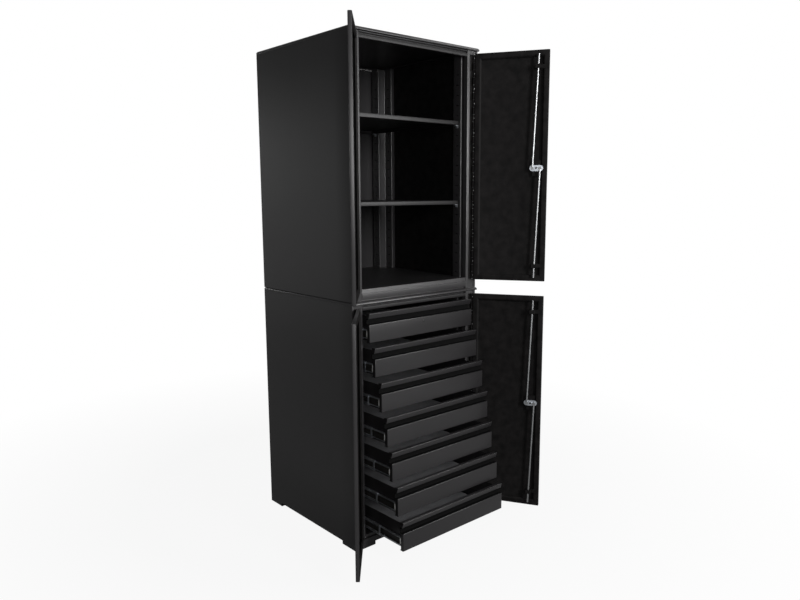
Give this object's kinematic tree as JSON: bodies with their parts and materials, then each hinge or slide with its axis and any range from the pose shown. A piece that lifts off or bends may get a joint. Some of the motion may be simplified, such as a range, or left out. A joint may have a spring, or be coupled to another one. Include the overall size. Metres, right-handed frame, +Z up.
{
  "type": "tool cabinet",
  "caption": "Tall steel tool cabinet of stacked carcasses, with hinged rod-locked doors, adjustable shelves above and finger-grip drawers on slides below.",
  "frame": {"origin": "middle of the back's bottom edge, on the floor", "axes": "+Z up, +Y to the back, +X to the right seen from the front"},
  "size_m": [1.0063, 0.9193, 2],
  "materials": {
    "carcass_paint": "satin",
    "door_paint": "satin",
    "drawer_paint": "satin",
    "handle_paint": "satin",
    "zinc": "satin",
    "bright_steel": "bright"
  },
  "bodies": {
    "cabinet": {"upper_side_left": "carcass_paint", "upper_side_right": "carcass_paint", "upper_back": "carcass_paint", "upper_cap": "carcass_paint", "upper_floor": "carcass_paint", "lower_side_left": "carcass_paint", "lower_side_right": "carcass_paint", "lower_back": "carcass_paint", "lower_cap": "carcass_paint", "lower_floor": "carcass_paint", "joining_bolts": "zinc", "uprights": "carcass_paint", "shelf_low": "carcass_paint", "shelf_high": "carcass_paint", "shelf_clips": "zinc", "slide_outers": "zinc", "hinge_leaves": "carcass_paint", "hinge_pins": "bright_steel"},
    "upper_left_door": {"upper_door_left": "door_paint"},
    "upper_right_door": {"upper_door_right": "door_paint", "upper_lock_fittings": "door_paint"},
    "upper_lock": {"upper_lock_handle": "handle_paint", "upper_lock_cam": "zinc"},
    "upper_rod_top": {"upper_rod_top": "bright_steel"},
    "upper_rod_bottom": {"upper_rod_bottom": "bright_steel"},
    "lower_left_door": {"lower_door_left": "door_paint"},
    "lower_right_door": {"lower_door_right": "door_paint", "lower_lock_fittings": "door_paint"},
    "lower_lock": {"lower_lock_handle": "handle_paint", "lower_lock_cam": "zinc"},
    "lower_rod_top": {"lower_rod_top": "bright_steel"},
    "lower_rod_bottom": {"lower_rod_bottom": "bright_steel"},
    "drawer_1": {"drawer_1_front": "drawer_paint", "drawer_1_tub": "drawer_paint", "drawer_1_runners": "zinc"},
    "drawer_1_mid": {"drawer_1_mid_slides": "zinc"},
    "drawer_2": {"drawer_2_front": "drawer_paint", "drawer_2_tub": "drawer_paint", "drawer_2_runners": "zinc"},
    "drawer_2_mid": {"drawer_2_mid_slides": "zinc"},
    "drawer_3": {"drawer_3_front": "drawer_paint", "drawer_3_tub": "drawer_paint", "drawer_3_runners": "zinc"},
    "drawer_3_mid": {"drawer_3_mid_slides": "zinc"},
    "drawer_4": {"drawer_4_front": "drawer_paint", "drawer_4_tub": "drawer_paint", "drawer_4_runners": "zinc"},
    "drawer_4_mid": {"drawer_4_mid_slides": "zinc"},
    "drawer_5": {"drawer_5_front": "drawer_paint", "drawer_5_tub": "drawer_paint", "drawer_5_runners": "zinc"},
    "drawer_5_mid": {"drawer_5_mid_slides": "zinc"},
    "drawer_6": {"drawer_6_front": "drawer_paint", "drawer_6_tub": "drawer_paint", "drawer_6_runners": "zinc"},
    "drawer_6_mid": {"drawer_6_mid_slides": "zinc"},
    "drawer_7": {"drawer_7_front": "drawer_paint", "drawer_7_tub": "drawer_paint", "drawer_7_runners": "zinc"},
    "drawer_7_mid": {"drawer_7_mid_slides": "zinc"}
  },
  "joints": [
    {"name": "upper_left_door_hinge", "type": "hinge", "parent": "cabinet", "child": "upper_left_door", "pos_m": [-0.311, -0.646, 1.50625], "axis": [0, 0, -1], "range_deg": [-130.4, 9.6]},
    {"name": "upper_right_door_hinge", "type": "hinge", "parent": "cabinet", "child": "upper_right_door", "pos_m": [0.311, -0.646, 1.50625], "axis": [0, 0, 1], "range_deg": [-121.6, 18.4]},
    {"name": "upper_lock_turn", "type": "hinge", "parent": "upper_right_door", "child": "upper_lock", "pos_m": [0.44272, -0.87728, 1.50625], "axis": [0.8517, 0.524, 0], "range_deg": [0, 90]},
    {"name": "upper_rod_top_pivot", "type": "hinge", "parent": "upper_lock", "child": "upper_rod_top", "pos_m": [0.43459, -0.86407, 1.50625], "axis": [0.8517, 0.524, 0], "range_deg": [-93, 0]},
    {"name": "upper_rod_bottom_pivot", "type": "hinge", "parent": "upper_lock", "child": "upper_rod_bottom", "pos_m": [0.45084, -0.89048, 1.50625], "axis": [0.8517, 0.524, 0], "range_deg": [-93, 0]},
    {"name": "lower_left_door_hinge", "type": "hinge", "parent": "cabinet", "child": "lower_left_door", "pos_m": [-0.311, -0.646, 0.51], "axis": [0, 0, -1], "range_deg": [-40.8, 9.2]},
    {"name": "lower_right_door_hinge", "type": "hinge", "parent": "cabinet", "child": "lower_right_door", "pos_m": [0.311, -0.646, 0.51], "axis": [0, 0, 1], "range_deg": [-29.4, 20.6]},
    {"name": "lower_lock_turn", "type": "hinge", "parent": "lower_right_door", "child": "lower_lock", "pos_m": [0.43374, -0.88216, 0.51], "axis": [0.8712, 0.4909, 0], "range_deg": [0, 90]},
    {"name": "lower_rod_top_pivot", "type": "hinge", "parent": "lower_lock", "child": "lower_rod_top", "pos_m": [0.42613, -0.86866, 0.51], "axis": [0.8712, 0.4909, 0], "range_deg": [-93, 0]},
    {"name": "lower_rod_bottom_pivot", "type": "hinge", "parent": "lower_lock", "child": "lower_rod_bottom", "pos_m": [0.44135, -0.89567, 0.51], "axis": [0.8712, 0.4909, 0], "range_deg": [-93, 0]},
    {"name": "drawer_1_slide", "type": "slide", "parent": "cabinet", "child": "drawer_1", "axis": [0, -1, 0], "range_m": [-0.059, 0.441]},
    {"name": "drawer_1_mid_slide", "type": "slide", "parent": "cabinet", "child": "drawer_1_mid", "axis": [0, -1, 0], "range_m": [-0.0295, 0.2205]},
    {"name": "drawer_2_slide", "type": "slide", "parent": "cabinet", "child": "drawer_2", "axis": [0, -1, 0], "range_m": [-0.091, 0.409]},
    {"name": "drawer_2_mid_slide", "type": "slide", "parent": "cabinet", "child": "drawer_2_mid", "axis": [0, -1, 0], "range_m": [-0.0455, 0.2045]},
    {"name": "drawer_3_slide", "type": "slide", "parent": "cabinet", "child": "drawer_3", "axis": [0, -1, 0], "range_m": [-0.128, 0.372]},
    {"name": "drawer_3_mid_slide", "type": "slide", "parent": "cabinet", "child": "drawer_3_mid", "axis": [0, -1, 0], "range_m": [-0.064, 0.186]},
    {"name": "drawer_4_slide", "type": "slide", "parent": "cabinet", "child": "drawer_4", "axis": [0, -1, 0], "range_m": [-0.16, 0.34]},
    {"name": "drawer_4_mid_slide", "type": "slide", "parent": "cabinet", "child": "drawer_4_mid", "axis": [0, -1, 0], "range_m": [-0.08, 0.17]},
    {"name": "drawer_5_slide", "type": "slide", "parent": "cabinet", "child": "drawer_5", "axis": [0, -1, 0], "range_m": [-0.187, 0.313]},
    {"name": "drawer_5_mid_slide", "type": "slide", "parent": "cabinet", "child": "drawer_5_mid", "axis": [0, -1, 0], "range_m": [-0.0935, 0.1565]},
    {"name": "drawer_6_slide", "type": "slide", "parent": "cabinet", "child": "drawer_6", "axis": [0, -1, 0], "range_m": [-0.218, 0.282]},
    {"name": "drawer_6_mid_slide", "type": "slide", "parent": "cabinet", "child": "drawer_6_mid", "axis": [0, -1, 0], "range_m": [-0.109, 0.141]},
    {"name": "drawer_7_slide", "type": "slide", "parent": "cabinet", "child": "drawer_7", "axis": [0, -1, 0], "range_m": [-0.248, 0.252]},
    {"name": "drawer_7_mid_slide", "type": "slide", "parent": "cabinet", "child": "drawer_7_mid", "axis": [0, -1, 0], "range_m": [-0.124, 0.126]}
  ],
  "couplings": [
    {"joint": "upper_rod_top_pivot", "follows": "upper_lock_turn", "ratio": -1.0245},
    {"joint": "upper_rod_bottom_pivot", "follows": "upper_lock_turn", "ratio": -1.0245},
    {"joint": "lower_rod_top_pivot", "follows": "lower_lock_turn", "ratio": -1.0247},
    {"joint": "lower_rod_bottom_pivot", "follows": "lower_lock_turn", "ratio": -1.0247},
    {"joint": "drawer_1_mid_slide", "follows": "drawer_1_slide", "ratio": 0.5},
    {"joint": "drawer_2_mid_slide", "follows": "drawer_2_slide", "ratio": 0.5},
    {"joint": "drawer_3_mid_slide", "follows": "drawer_3_slide", "ratio": 0.5},
    {"joint": "drawer_4_mid_slide", "follows": "drawer_4_slide", "ratio": 0.5},
    {"joint": "drawer_5_mid_slide", "follows": "drawer_5_slide", "ratio": 0.5},
    {"joint": "drawer_6_mid_slide", "follows": "drawer_6_slide", "ratio": 0.5},
    {"joint": "drawer_7_mid_slide", "follows": "drawer_7_slide", "ratio": 0.5}
  ]
}
